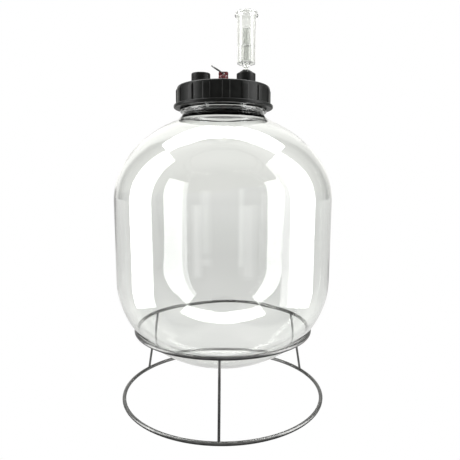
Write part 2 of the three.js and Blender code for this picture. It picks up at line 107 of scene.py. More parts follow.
AIRLOCK = Sizes(bore_r=2.5, stem_bottom_r=3.6, stem_top_r=4.4, cone_r=7, riser_r=4.2, bottom_r=14.3,
                top_r=15.2, wall=1.2, stem_z=516, cone_z=536.2, floor_z=542.3, riser_z=595.3, rim_z=618.5)
FLOAT = Sizes(skirt_r=8.4, cap_r=6.3, knob_r=2, wall=1, bottom_z=546, step_z=570.5, top_z=596.6,
              knob_z=600.6)
AIRLOCK_LID = Sizes(skirt_r=18.9, skirt_inner_r=15.7, shoulder_r=17, shoulder_inner_r=15.5, dome_r=9.5,
                    wall=1.4, skirt_z=614.6, shoulder_z=620.7, top_z=622.7)
VENTS = Sizes(count=6, r=1.1, circle_r=12.6)

WASHER = Sizes(inner_r=6.3, r=8.2, bottom_z=507.8, top_z=509)
VALVE = Sizes(inlet_r=2.6, shank_r=6, flange_r=8.4, bore_r=5.2, bottom_z=497, seat_z=500, flange_z=509.3,
              top_z=519)
BONNET = Sizes(hole_r=2, plug_r=4.9, r=7.8, plug_z=516.5, bottom_z=519.3, top_z=524)
STEM = Sizes(r=1.6, disc_r=4.6, disc_z=502.6, disc_top_z=504.4, top_z=525.5)
TAB = Sizes(half_width=7.7, thickness=4.0, chamfer=1.4, rounding=0.45, bottom_z=524.5, top_z=530.5,
            eye_r=1.7, eye_z=527.7)
SEAT_DISC = Sizes(r=4.4, bottom_z=500.4, top_z=502.3)
# When the stem is pulled up, pulled_share of the spring's length is left.
SPRING = Sizes(turns=5, coil_r=3.3, wire_r=0.45, bottom_z=505.2, top_z=515.7, pulled_share=0.64)
PULL_RING = Sizes(r=11, wire_r=1.0, lean=32.5, twist=7.5)  # lean and twist in degrees

# ------------------------------------------------------------------ mesh helpers


def rounded(corners, steps=5, closed=True):
    """An outline from corners (radius, z, fillet), each fillet drawn as an arc."""
    points = []
    count = len(corners)
    for i, (r, z, *fillet) in enumerate(corners):
        here = Vector((r, z))
        at_end = not closed and i in (0, count - 1)
        if at_end or not fillet:
            points.append(here)
            continue
        before = Vector(corners[i - 1][:2]) - here
        after = Vector(corners[(i + 1) % count][:2]) - here
        half = before.angle(after) / 2
        reach = min(fillet[0] / math.tan(half), before.length * 0.49, after.length * 0.49)
        radius = reach * math.tan(half)
        inwards = (before.normalized() + after.normalized()).normalized()
        centre = here + inwards * radius / math.sin(half)
        start = here + before.normalized() * reach - centre
        end = here + after.normalized() * reach - centre
        for k in range(steps + 1):
            bend = start.lerp(end, k / steps)
            points.append(centre + bend.normalized() * radius)
    return [(p.x, p.y) for p in points]


def flat_ring(sizes, edge, inner_r):
    """The section of a flat ring, or of a disc where inner_r is 0."""
    outer = [(sizes.r, sizes.bottom_z, edge), (sizes.r, sizes.top_z, edge)]
    if inner_r:
        return rounded([(inner_r, sizes.bottom_z, edge), *outer, (inner_r, sizes.top_z, edge)])
    return rounded([(0, sizes.bottom_z), *outer, (0, sizes.top_z)], closed=False)


def arc(centre_r, centre_z, width, height, start, end, steps, squareness=2):
    """Points on part of an ellipse. A squareness over 2 fills its corners."""
    points = []
    for k in range(steps + 1):
        angle = math.radians(start + (end - start) * k / steps)
        cos = max(0.0, math.cos(angle)) ** (2 / squareness)
        sin = math.copysign(abs(math.sin(angle)) ** (2 / squareness), math.sin(angle))
        points.append((centre_r + width * cos, centre_z + height * sin))
    return points


def ladder(radius, start, end, step):
    """Points up or down a straight wall, close enough together for a thread or a rib."""
    count = max(1, round(abs(end - start) / step))
    return [(radius, start + (end - start) * k / count) for k in range(count + 1)]


def threaded(radius, thread):
    """Points up the wall that a thread stands on."""
    return ladder(radius, thread.low, thread.high, thread.step)


def on_wall(r, radius):
    """Whether a point of an outline lies on the wall of that radius."""
    return abs(r - radius) < 0.01


def eased(share):
    """A share kept between 0 and 1, with a soft start and end."""
    share = min(1.0, max(0.0, share))
    return share * share * (3 - 2 * share)


def add(name, data):
    """A new object in the scene."""
    thing = bpy.data.objects.new(name, data)
    bpy.context.scene.collection.objects.link(thing)
    return thing


def smooth(mesh, sharp):
    """Shades a mesh smooth, but for edges sharper than an angle in degrees."""
    for polygon in mesh.polygons:
        polygon.use_smooth = True
    mesh.set_sharp_from_angle(angle=math.radians(sharp))


def to_piece(name, bm, sharp=35):
    """Makes an object of a finished bmesh."""
    bmesh.ops.recalc_face_normals(bm, faces=bm.faces)
    mesh = bpy.data.meshes.new(name)
    bm.to_mesh(mesh)
    bm.free()
    smooth(mesh, sharp)
    return add(name, mesh)


def turned(name, outline, segments=96, centre_x=0, closed=True, shift=None, sharp=35, angles=None):
    """A closed solid turned round a vertical axis. shift(angle, radius, z) moves a point outwards.
    An outline that isn't closed starts and ends on the axis."""
    bm = bmesh.new()
    rings = []
    angles = angles or [2 * math.pi * k / segments for k in range(segments)]
    for r, z in outline:
        if r < 1e-6:
            rings.append([bm.verts.new((centre_x * MM, 0, z * MM))])
            continue
        ring = []
        for angle in angles:
            radius = r + (shift(angle, r, z) if shift else 0)
            x, y = centre_x + radius * math.cos(angle), radius * math.sin(angle)
            ring.append(bm.verts.new((x * MM, y * MM, z * MM)))
        rings.append(ring)
    pairs = list(zip(rings, rings[1:]))
    if closed:
        pairs.append((rings[-1], rings[0]))
    for low, high in pairs:
        for k in range(len(angles)):
            k2 = (k + 1) % len(angles)
            corners = [low[k % len(low)], low[k2 % len(low)], high[k2 % len(high)], high[k % len(high)]]
            face = list(dict.fromkeys(corners))
            if len(face) > 2:
                bm.faces.new(face)
    return to_piece(name, bm, sharp)


def drill(name, radius, low, high, segments, centre_x=0):
    """A plain upright cylinder that cuts a hole."""
    outline = [(0, low), (radius, low), (radius, high), (0, high)]
    return turned(name, outline, segments, centre_x, closed=False)


def tube(name, path, radius, sides=16, closed=False):
    """A round tube along a list of points."""
    bm = bmesh.new()
    count = len(path)
    rings = []
    side_way = None
    for i, point in enumerate(path):
        ahead = path[(i + 1) % count] if closed or i < count - 1 else point
        behind = path[i - 1] if closed or i > 0 else point
        along = (ahead - behind).normalized()
        if side_way is None:
            side_way = along.orthogonal().normalized()
        side_way = (side_way - along * side_way.dot(along)).normalized()
        other = along.cross(side_way)
        ring = []
        for k in range(sides):
            angle = 2 * math.pi * k / sides
            spoke = side_way * math.cos(angle) + other * math.sin(angle)
            ring.append(bm.verts.new(point + spoke * radius))
        rings.append(ring)
    for i in range(count if closed else count - 1):
        low, high = rings[i], rings[(i + 1) % count]
        for k in range(sides):
            k2 = (k + 1) % sides
            bm.faces.new((low[k], low[k2], high[k2], high[k]))
    if not closed:
        bm.faces.new(rings[0])
        bm.faces.new(rings[-1])
    return to_piece(name, bm, 60)


def combine(piece, tool, operation):
    """Joins a tool to a piece, or cuts it out, and removes the tool."""
    modifier = piece.modifiers.new("combine", "BOOLEAN")
    modifier.operation = operation
    modifier.solver = "EXACT"
    modifier.object = tool
    result = bpy.data.meshes.new_from_object(piece.evaluated_get(bpy.context.evaluated_depsgraph_get()))
    piece.modifiers.clear()
    piece.data = result
    bpy.data.objects.remove(tool)
    smooth(result, 35)
    return piece


def thread_height(thread, angle, z):
    """How far a thread's ridge stands out of its wall at an angle and a height."""
    start, end = thread.span
    turn = math.degrees(angle)
    best = 0.0
    while turn > start:
        turn -= 360
    turn += 360
    while turn <= end:
        off = abs(z - thread.z - thread.pitch * turn / 360)
        run = (thread.root - thread.crest) / 2
        flank = eased((thread.root / 2 - off) / run)
        fade = min(1.0, (turn - start) / THREAD_FADE, (end - turn) / THREAD_FADE)
        best = max(best, flank * max(0.0, fade) * thread.height)
        turn += 360
    return best


def dress(piece, node, material):
    """Gives a piece its material, and lets it stand for a CAD node and move with that node's body."""
    piece.data.materials.clear()
    piece.data.materials.append(material)
    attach(piece, BODY_OF[node])
    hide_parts(node)
    return piece


# ------------------------------------------------------------------ materials


class Shader:
    """A material with a Principled shader and short calls for the nodes around it."""

    def __init__(self, name, **sockets):
        self.material = bpy.data.materials.new(name)
        self.material.use_nodes = True
        self.nodes = self.material.node_tree.nodes
        self.links = self.material.node_tree.links
        self.shader = self.nodes["Principled BSDF"]
        for socket, value in sockets.items():
            self.shader.inputs[socket.replace("_", " ")].default_value = value
        self.place = self.nodes.new("ShaderNodeTexCoord").outputs["Object"]

    def noise(self, scale, detail=2.0, stretch=None):
        """Noise fixed to the object, with stretch as its scale along each axis."""
        place = self.place
        if stretch:
            mapping = self.nodes.new("ShaderNodeMapping")
            mapping.inputs["Scale"].default_value = stretch
            self.links.new(place, mapping.inputs["Vector"])
            place = mapping.outputs["Vector"]
        noise = self.nodes.new("ShaderNodeTexNoise")
        noise.inputs["Scale"].default_value = scale
        noise.inputs["Detail"].default_value = detail
        self.links.new(place, noise.inputs["Vector"])
        return noise.outputs["Fac"]

    def spread(self, value, low, high, start=0.3, end=0.7):
        """Maps a noise value to a range of numbers."""
        node = self.nodes.new("ShaderNodeMapRange")
        for socket, number in zip(("From Min", "From Max", "To Min", "To Max"), (start, end, low, high)):
            node.inputs[socket].default_value = number
        self.links.new(value, node.inputs["Value"])
        return node.outputs["Result"]

    def ramp(self, value, dark, light, start=0.3, end=0.7):
        """Maps a noise value to a blend of two colours."""
        node = self.nodes.new("ShaderNodeValToRGB")
        node.color_ramp.elements[0].position = start
        node.color_ramp.elements[1].position = end
        node.color_ramp.elements[0].color = (*dark, 1)
        node.color_ramp.elements[1].color = (*light, 1)
        self.links.new(value, node.inputs["Fac"])
        return node.outputs["Color"]

    def bump(self, *layers):
        """Stacks (height, strength, distance in metres) layers of relief."""
        normal = None
        for height, strength, distance in layers:
            node = self.nodes.new("ShaderNodeBump")
            node.inputs["Strength"].default_value = strength
            node.inputs["Distance"].default_value = distance
            self.links.new(height, node.inputs["Height"])
            if normal:
                self.links.new(normal, node.inputs["Normal"])
            normal = node.outputs["Normal"]
        self.links.new(normal, self.shader.inputs["Normal"])

    def set(self, socket, value):
        """Feeds a socket of the shader from a node's output."""
        self.links.new(value, self.shader.inputs[socket])


def clear_vessel_material():
    clear = Shader("clear_vessel", Transmission_Weight=1.0, IOR=1.5)
    clear.set("Base Color", clear.ramp(clear.noise(9), (0.975, 0.986, 0.974), (0.992, 0.997, 0.99)))
    clear.set("Roughness", clear.spread(clear.noise(60, 4), 0.0, 0.012))
    clear.bump((clear.noise(14, 1.5, (1, 1, 0.35)), 0.12, 0.004))
    return clear.material


def clear_airlock_material():
    clear = Shader("clear_airlock", Transmission_Weight=0.97, IOR=1.34)
    clear.set("Base Color", clear.ramp(clear.noise(40), (0.9, 0.91, 0.895), (0.94, 0.945, 0.935)))
    clear.set("Roughness", clear.spread(clear.noise(150, 3), 0.02, 0.08))
    clear.bump((clear.noise(120, 1.5, (1, 1, 0.25)), 0.02, 0.0006))
    return clear.material


def black_plastic_material():
    black = Shader("black_plastic", Specular_IOR_Level=0.11)
    colour = black.ramp(black.noise(70, 4), (0.003, 0.0032, 0.003), (0.008, 0.0085, 0.008))
    black.set("Base Color", colour)
    black.set("Roughness", black.spread(black.noise(220, 4), 0.28, 0.38))
    black.bump((black.noise(2600, 2), 0.1, 0.0001), (black.noise(300, 2), 0.06, 0.0002))
    return black.material


def rubber_material():
    rubber = Shader("black_rubber", Specular_IOR_Level=0.35)
    colour = rubber.ramp(rubber.noise(120, 4), (0.006, 0.006, 0.006), (0.016, 0.016, 0.015))
    rubber.set("Base Color", colour)
    rubber.set("Roughness", rubber.spread(rubber.noise(400, 3), 0.5, 0.7))
    rubber.bump((rubber.noise(1800, 3), 0.2, 0.0002))
    return rubber.material


def red_plastic_material():
    red = Shader("red_plastic", Specular_IOR_Level=0.5, Coat_Weight=0.2, Coat_Roughness=0.1)
    red.set("Base Color", red.ramp(red.noise(300, 3), (0.07, 0.004, 0.007), (0.15, 0.006, 0.011)))
    red.set("Roughness", red.spread(red.noise(500, 3), 0.22, 0.38))
    red.bump((red.noise(1500, 2), 0.1, 0.00015))
    return red.material


def steel_material():
    steel = Shader("stainless_wire", Metallic=1.0)
    steel.set("Base Color", steel.ramp(steel.noise(90, 4), (0.1, 0.1, 0.1), (0.17, 0.17, 0.166)))
    steel.set("Roughness", steel.spread(steel.noise(500, 4), 0.3, 0.42))
    steel.bump((steel.noise(900, 3), 0.01, 0.0001))
    return steel.material


def liner_material():
    liner = Shader("cap_liner")
    liner.set("Base Color", liner.ramp(liner.noise(500, 4), (0.58, 0.58, 0.55), (0.7, 0.7, 0.67)))
    liner.set("Roughness", liner.spread(liner.noise(700, 3), 0.5, 0.7))
    liner.bump((liner.noise(3000, 3), 0.3, 0.0002))
    return liner.material


CLEAR_VESSEL = clear_vessel_material()
CLEAR_AIRLOCK = clear_airlock_material()
BLACK = black_plastic_material()
RUBBER = rubber_material()
RED = red_plastic_material()
STEEL = steel_material()
LINER_FOAM = liner_material()

# ------------------------------------------------------------------ the stand


def make_ring(node, ring):
    sides = 24
    turns = [2 * math.pi * k / sides for k in range(sides)]
    section = [(ring.r + WIRE.ring_r * math.cos(a), ring.z + WIRE.ring_r * math.sin(a)) for a in turns]
    dress(turned(node + "_model", section, 288, sharp=60), node, STEEL)


def make_leg(node, degrees):
    outwards = Vector((math.cos(math.radians(degrees)), math.sin(math.radians(degrees)), 0))
    foot = (outwards * BASE_RING.r + Vector((0, 0, BASE_RING.z))) * MM
    head = (outwards * TOP_RING.r + Vector((0, 0, TOP_RING.z))) * MM
    steps = 24
    path = [foot.lerp(head, k / steps) for k in range(steps + 1)]
    dress(tube(node + "_model", path, WIRE.leg_r * MM, 20), node, STEEL)


def make_stand():
    make_ring("stand_base_ring", BASE_RING)
    make_ring("stand_top_ring", TOP_RING)
    for node, degrees in LEG_ANGLES.items():
        make_leg(node, degrees)


# ------------------------------------------------------------------ the vessel


def body_outline(inset):
    """The bowl, the wall and the shoulder, set in from the outer surface."""
    bowl = arc(0, BODY.bottom_z, BODY.bottom_r - inset, BOWL.depth - inset, -90, 0, steps=44,
               squareness=BOWL.squareness)
    rows = 10
    wall = []
    for k in range(1, rows):
        share = k / rows
        wall.append((BODY.bottom_r + (BODY.top_r - BODY.bottom_r) * share - inset,
                     BODY.bottom_z + (BODY.top_z - BODY.bottom_z) * share))
    centre = BODY.top_r - SHOULDER.width
    shoulder = arc(centre, BODY.top_z, SHOULDER.width - inset, SHOULDER.height - inset, 0, SHOULDER.end,
                   steps=32)
    return bowl + wall + shoulder


def swell(angle, z, phase):
    """The slight unevenness of a blown wall, in millimetres."""
    total = 0
    for number, (height, waves, rise) in enumerate(SWELLS, 1):
        total += height * math.sin(waves * angle + z / rise + number * phase)
    return total


def vessel_shift(angle, r, z):
    """Swells the body, apart from the middle of its bottom, and raises the neck's thread."""
    if z < BODY.top_z + SHOULDER.height * 0.6:
        outer = r > BODY.bottom_r - WALL / 2 or z < BODY.bottom_z
        fade = min(1.0, r / 60)
        return fade * swell(angle, z, 0.4 if outer else 2.1)
    if on_wall(r, FINISH.r) and z > NECK_RING.top_z:
        return thread_height(NECK_THREAD, angle, z)
    return 0


def make_vessel():
    flare_shift = WALL * math.sqrt(0.5)
    outer = body_outline(0)
    inner = body_outline(WALL)
    neck = rounded([
        outer[-1],
        (NECK.flare_r, NECK.flare_z, 1.2),
        (NECK.waist_r, NECK.waist_z, 1.5),
        (NECK_RING.r, NECK_RING.bottom_z, 1.2),
        (NECK_RING.r, NECK_RING.top_z, 1.2),
        (FINISH.r, NECK_RING.top_z, 0.8),
        (FINISH.r, NECK_THREAD.low - 1),
    ], closed=False)[1:]
    rim = rounded([
        (FINISH.r, NECK_THREAD.high + 1),
        (FINISH.r, FINISH.top_z, 1.2),
        (NECK.bore_r, FINISH.top_z, 1.2),
        (NECK.bore_r, NECK.waist_z - flare_shift, 6),
        (NECK.flare_r - flare_shift, NECK.flare_z - flare_shift, 2.5),
        inner[-1],
    ], closed=False)[:-1]
    outline = outer + neck + threaded(FINISH.r, NECK_THREAD) + rim + inner[::-1]
    vessel = turned("vessel_model", outline, 192, closed=False, shift=vessel_shift, sharp=50)
    dress(vessel, "vessel", CLEAR_VESSEL)


# ------------------------------------------------------------------ the lid


def rib_height(angle, z):
    """How far the collar's grip ribs stand out at an angle and a height."""
    pitch = 360 / RIBS.count
    off = (math.degrees(angle) - RIBS.phase + pitch / 2) % pitch - pitch / 2
    across = eased((RIBS.half_width - abs(off)) / RIBS.edge)
    upwards = min(1.0, max(0.0, (RIBS.high - z) / RIBS.run_out))
    return RIBS.height * across * math.sin(upwards * math.pi / 2)


def collar_shift(angle, r, z):
    if on_wall(r, COLLAR.inner_r):
        return -thread_height(COLLAR_THREAD, angle, z)
    if r > COLLAR.r - COLLAR.edge - 0.1 and z > RIBS.low:
        return rib_height(angle, z)
    return 0


def rib_angles():
    """Angles round the collar, close together at the edges of its ribs."""
    flat = RIBS.half_width - RIBS.edge
    half_pitch = 180 / RIBS.count
    top = [flat * k / 4 for k in range(1, 4)]
    edge = [flat + RIBS.edge * k / 6 for k in range(7)]
    valley = [RIBS.half_width + (half_pitch - RIBS.half_width) * k / 8 for k in range(1, 9)]
    half = top + edge + valley
    across = [-a for a in reversed(half[:-1])] + [0.0] + half
    return [math.radians(RIBS.phase + 2 * half_pitch * k + a) for k in range(RIBS.count) for a in across]


def make_collar():
    lip_bottom = COLLAR.top_z - COLLAR.lip
    top = rounded([
        (COLLAR.inner_r, lip_bottom, 0.5),
        (COLLAR.lip_r, lip_bottom, 0.5),
        (COLLAR.lip_r, COLLAR.top_z, 0.8),
        (COLLAR.r, COLLAR.top_z, COLLAR.edge),
        (COLLAR.r, RIBS.high - 3),
    ], 8, closed=False)
    side = ladder(COLLAR.r, RIBS.high - 3.5, RIBS.low + 1, 2.5)
    bead = rounded([
        (COLLAR.r, RIBS.low + 0.6),
        (COLLAR.r, COLLAR.bead_z, 0.5),
        (COLLAR.bead_r, COLLAR.bead_z, 2),
        (COLLAR.bead_r, COLLAR.bottom_z, 2),
        (COLLAR.inner_r + 1, COLLAR.bottom_z, 0.4),
        (COLLAR.inner_r, COLLAR.bottom_z + 1, 0.3),
        (COLLAR.inner_r, COLLAR.bottom_z + 1.3),
    ], 6, closed=False)
    outline = top + side + bead + threaded(COLLAR.inner_r, COLLAR_THREAD)
    collar = turned("lid_collar_model", outline, shift=collar_shift, angles=rib_angles())
    dress(collar, "lid_collar", BLACK)


def post_shift(angle, r, z):
    on_thread = r > POST.r - 0.1 and z > POST.neck_z
    return thread_height(POST_THREAD, angle, z) if on_thread else 0


def make_post(x):
    """One of the lid's two threaded posts, without its bore."""
    foot = rounded([
        (POST.foot_r, POST.bottom_z),
        (POST.foot_r, POST.foot_z, 0.6),
        (POST.r, POST.neck_z, 0.6),
        (POST.r, POST_THREAD.low - 0.6),
    ], closed=False)
    top = rounded([
        (POST.r, POST_THREAD.high + 0.4),
        (POST.r, POST.top_z, 0.6),
        (0, POST.top_z),
    ], closed=False)
    outline = [(0, POST.bottom_z)] + foot + threaded(POST.r, POST_THREAD) + top
    return turned("post", outline, 120, x, closed=False, shift=post_shift)


def make_lid_plate():
    plate = turned("lid_plate_model", rounded([
        (PLATE.hole_r, PLATE.top_z, 0.3),
        (PLATE.hub_r, PLATE.top_z, 0.4),
        (PLATE.hub_r + 0.8, PLATE.sunk_z, 0.4),
        (PLATE.border_r - 1, PLATE.sunk_z, 0.4),
        (PLATE.border_r, PLATE.top_z, 0.4),
        (PLATE.boss_r, PLATE.top_z, 1),
        (PLATE.boss_r, PLATE.flange_top_z, 0.3),
        (PLATE.flange_r, PLATE.flange_top_z, 0.5),
        (PLATE.flange_r, PLATE.flange_bottom_z, 0.5),
        (PLATE.plug_r, PLATE.flange_bottom_z, 0.4),
        (PLATE.plug_r, PLATE.plug_bottom_z, 1),
        (PLATE.plug_inner_r, PLATE.plug_bottom_z, 1),
        (PLATE.plug_inner_r, PLATE.underside_z, 1.5),
        (PLATE.hole_r, PLATE.underside_z, 0.3),
    ]), 192)
    for x in (-POST.x, POST.x):
        combine(plate, make_post(x), "UNION")
        bore = drill("bore", POST.bore_r, PLATE.plug_bottom_z - 1.5, POST.top_z + 1.5, 96, x)
        combine(plate, bore, "DIFFERENCE")
    dress(plate, "lid_plate", BLACK)


def make_seal():
    seal = turned("lid_seal_model", flat_ring(SEAL, 0.7, SEAL.inner_r), 160)
    dress(seal, "lid_seal", RUBBER)


# ------------------------------------------------------------------ the port caps


def cap_shift(angle, r, z):
    if on_wall(r, CAP.inner_r):
        return -thread_height(CAP_THREAD, angle, z)
    if on_wall(r, CAP.r) and CAP.bottom_z + 2.6 < z < CAP.top_z - 3:
        return -FLUTES.depth * (0.5 - 0.5 * math.cos(FLUTES.count * angle))
    return 0


def cap_outline(hole_r):
    """A cap's section, with a hole in its top unless hole_r is 0."""
    top = [(hole_r, CAP.ceiling_z), (hole_r, CAP.top_z, 0.4)] if hole_r else [(0, CAP.top_z)]
    crown = rounded([*top, (CAP.r, CAP.top_z, 2.2), (CAP.r, CAP.top_z - 2.9)], 7, closed=False)
    side = ladder(CAP.r, CAP.top_z - 3.3, CAP.bottom_z + 2.4, 1.5)
    rim = rounded([
        (CAP.r, CAP.bottom_z + 2.2),
        (CAP.r, CAP.bottom_z, 0.5),
        (CAP.inner_r, CAP.bottom_z, 0.3),
        (CAP.inner_r, CAP_THREAD.low - 0.5),
    ], closed=False)
    ceiling = rounded([
        (CAP.inner_r, CAP_THREAD.high + 0.5),
        (CAP.inner_r, CAP.ceiling_z, 0.4),
        (hole_r, CAP.ceiling_z),
    ], closed=False)
    if hole_r:
        ceiling.pop()
    return crown + side + rim + threaded(CAP.inner_r, CAP_THREAD) + ceiling


def make_cap(port, x, hole_r, liner_hole_r):
    """A port's cap and its liner. A radius of 0 leaves a hole out."""
    has_hole = hole_r > 0
    cap = turned(f"{port}_port_cap_model", cap_outline(hole_r), 360, x, closed=has_hole, shift=cap_shift)
    dress(cap, f"{port}_port_cap", BLACK)
    liner = turned(f"{port}_port_liner_model", flat_ring(LINER, 0.2, liner_hole_r), 96, x, closed=has_hole)
    dress(liner, f"{port}_port_liner", LINER_FOAM)


def make_grommet():
    grommet = turned("airlock_grommet_model", rounded([
        (GROMMET.hole_r, GROMMET.bottom_z, 0.6),
        (GROMMET.flange_r, GROMMET.bottom_z, 0.9),
        (GROMMET.flange_r, GROMMET.flange_top_z, 0.3),
        (GROMMET.neck_r, GROMMET.flange_top_z, 0.3),
        (GROMMET.neck_r, GROMMET.skirt_z, 0.3),
        (GROMMET.skirt_r, GROMMET.skirt_z, 0.4),
        (GROMMET.skirt_r, GROMMET.skirt_top_z, 0.4),
        (GROMMET.shoulder_r, GROMMET.shoulder_z, 3),
        (GROMMET.crown_r, GROMMET.top_z, 1.6),
        (GROMMET.hole_r, GROMMET.top_z, 0.5),
    ], 7), 96, POST.x)
    dress(grommet, "airlock_grommet", RUBBER)


# ------------------------------------------------------------------ the airlock


def make_airlock_body():
    inside_z = AIRLOCK.floor_z + AIRLOCK.wall
    body = turned("airlock_body_model", rounded([
        (AIRLOCK.bore_r, AIRLOCK.stem_z, 0.3),
        (AIRLOCK.stem_bottom_r, AIRLOCK.stem_z, 0.3),
        (AIRLOCK.stem_top_r, AIRLOCK.cone_z, 1),
        (AIRLOCK.cone_r, AIRLOCK.floor_z, 1),
        (AIRLOCK.bottom_r, AIRLOCK.floor_z, 0.9),
        (AIRLOCK.top_r, AIRLOCK.rim_z, 0.5),
        (AIRLOCK.top_r - AIRLOCK.wall, AIRLOCK.rim_z, 0.5),
        (AIRLOCK.bottom_r - AIRLOCK.wall, inside_z, 0.8),
        (AIRLOCK.riser_r, inside_z, 0.8),
        (AIRLOCK.riser_r, AIRLOCK.riser_z, 0.4),
        (AIRLOCK.bore_r, AIRLOCK.riser_z, 0.4),
    ]), 96, POST.x)
    dress(body, "airlock_body", CLEAR_AIRLOCK)


def make_airlock_float():
    wall = FLOAT.wall
    cup = turned("airlock_float_model", rounded([
        (0, FLOAT.top_z - wall),
        (FLOAT.cap_r - wall, FLOAT.top_z - wall, 0.6),
        (FLOAT.cap_r - wall, FLOAT.step_z - wall, 0.4),
        (FLOAT.skirt_r - wall, FLOAT.step_z - wall, 0.6),
        (FLOAT.skirt_r - wall, FLOAT.bottom_z, 0.3),
        (FLOAT.skirt_r, FLOAT.bottom_z, 0.3),
        (FLOAT.skirt_r, FLOAT.step_z, 0.9),
        (FLOAT.cap_r, FLOAT.step_z, 0.5),
        (FLOAT.cap_r, FLOAT.top_z, 0.9),
        (FLOAT.knob_r, FLOAT.top_z, 0.5),
        (FLOAT.knob_r, FLOAT.knob_z, 0.9),
        (0, FLOAT.knob_z),
    ], closed=False), 96, POST.x, closed=False)
    dress(cup, "airlock_float", CLEAR_AIRLOCK)


def make_airlock_lid():
    wall = AIRLOCK_LID.wall
    lid = turned("airlock_lid_model", rounded([
        (0, AIRLOCK_LID.top_z - wall),
        (AIRLOCK_LID.dome_r - wall, AIRLOCK_LID.top_z - wall, 0.5),
        (AIRLOCK_LID.dome_r - wall, AIRLOCK_LID.shoulder_z - wall, 0.4),
        (AIRLOCK_LID.shoulder_inner_r, AIRLOCK_LID.shoulder_z - wall, 0.5),
        (AIRLOCK_LID.skirt_inner_r, AIRLOCK_LID.skirt_z, 0.3),
        (AIRLOCK_LID.skirt_r, AIRLOCK_LID.skirt_z, 0.8),
        (AIRLOCK_LID.shoulder_r, AIRLOCK_LID.shoulder_z, 1.4),
        (AIRLOCK_LID.dome_r, AIRLOCK_LID.shoulder_z, 0.6),
        (AIRLOCK_LID.dome_r, AIRLOCK_LID.top_z, 0.9),
        (0, AIRLOCK_LID.top_z),
    ], closed=False), 96, POST.x, closed=False)
    for k in range(VENTS.count):
        angle = 2 * math.pi * k / VENTS.count
        vent = drill("vent", VENTS.r, AIRLOCK_LID.skirt_z + 1.4, AIRLOCK_LID.top_z + 1.3, 20)
        place = Vector((POST.x + VENTS.circle_r * math.cos(angle), VENTS.circle_r * math.sin(angle), 0))
        vent.data.transform(Matrix.Translation(place * MM))
        combine(lid, vent, "DIFFERENCE")
    dress(lid, "airlock_lid", CLEAR_AIRLOCK)


# ------------------------------------------------------------------ the relief valve


def make_valve_washer():
    washer = turned("relief_valve_washer_model", flat_ring(WASHER, 0.4, WASHER.inner_r), 72)
    dress(washer, "relief_valve_washer", RUBBER)


def make_valve_body():
    body = turned("relief_valve_body_model", rounded([
        (VALVE.inlet_r, VALVE.bottom_z, 0.3),
        (VALVE.shank_r, VALVE.bottom_z, 0.6),
        (VALVE.shank_r, VALVE.flange_z, 0.2),
        (VALVE.flange_r, VALVE.flange_z, 0.4),
        (VALVE.flange_r, VALVE.top_z, 0.5),
        (VALVE.bore_r, VALVE.top_z, 0.2),
        (VALVE.bore_r, VALVE.seat_z, 0.2),
        (VALVE.inlet_r, VALVE.seat_z, 0.2),
    ]), 72)
    dress(body, "relief_valve_body", RED)


def make_valve_bonnet():
    bonnet = turned("relief_valve_bonnet_model", rounded([
        (BONNET.hole_r, BONNET.plug_z, 0.2),
        (BONNET.plug_r, BONNET.plug_z, 0.2),
        (BONNET.plug_r, BONNET.bottom_z, 0.2),
        (BONNET.r, BONNET.bottom_z, 0.4),
        (BONNET.r, BONNET.top_z, 1),
        (BONNET.hole_r, BONNET.top_z, 0.3),
    ]), 72)
    dress(bonnet, "relief_valve_bonnet", RED)


def pull_tab():
    """The flat tab on top of the valve's stem, with the eye that the ring hangs in."""
    side, slope = TAB.half_width, TAB.half_width - TAB.chamfer
    shoulder_z = TAB.top_z - TAB.chamfer
    corners = ((-side, TAB.bottom_z), (side, TAB.bottom_z), (side, shoulder_z), (slope, TAB.top_z),
               (-slope, TAB.top_z), (-side, shoulder_z))
    bm = bmesh.new()
    front = [bm.verts.new((x * MM, -TAB.thickness / 2 * MM, z * MM)) for x, z in corners]
    back = [bm.verts.new((x * MM, TAB.thickness / 2 * MM, z * MM)) for x, z in corners]
    bm.faces.new(front)
    bm.faces.new(back)
    for k in range(len(corners)):
        k2 = (k + 1) % len(corners)
        bm.faces.new((front[k], front[k2], back[k2], back[k]))
    bmesh.ops.recalc_face_normals(bm, faces=bm.faces)
    bmesh.ops.bevel(bm, geom=bm.edges[:], offset=TAB.rounding * MM, segments=3, affect="EDGES",
                    clamp_overlap=True)
    tab = to_piece("tab", bm)
    eye = drill("eye", TAB.eye_r, -5, 5, 40)
    eye.data.transform(Matrix.Translation((0, 0, TAB.eye_z * MM)) @ Matrix.Rotation(math.pi / 2, 4, "X"))
    return combine(tab, eye, "DIFFERENCE")


def make_valve_stem():
    stem = turned("relief_valve_stem_model", rounded([
        (0, STEM.disc_z),
        (STEM.disc_r, STEM.disc_z, 0.3),
        (STEM.disc_r, STEM.disc_top_z, 0.3),
        (STEM.r, STEM.disc_top_z, 0.3),
        (STEM.r, STEM.top_z),
        (0, STEM.top_z),
    ], closed=False), 48, closed=False)
    combine(stem, pull_tab(), "UNION")
    dress(stem, "relief_valve_stem", RED)


def make_seat_disc():
    disc = turned("relief_valve_seat_disc_model", flat_ring(SEAT_DISC, 0.3, 0), 48, closed=False)
    dress(disc, "relief_valve_seat_disc", RUBBER)


def make_spring():
    count = SPRING.turns * 40
    path = []
    for k in range(count + 1):
        angle = 2 * math.pi * SPRING.turns * k / count
        z = SPRING.bottom_z + (SPRING.top_z - SPRING.bottom_z) * k / count
        path.append(Vector((SPRING.coil_r * math.cos(angle), SPRING.coil_r * math.sin(angle), z)) * MM)
    spring = tube("relief_valve_spring_model", path, SPRING.wire_r * MM, 10)
    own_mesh(spring)
    dress(spring, "relief_valve_spring", STEEL)


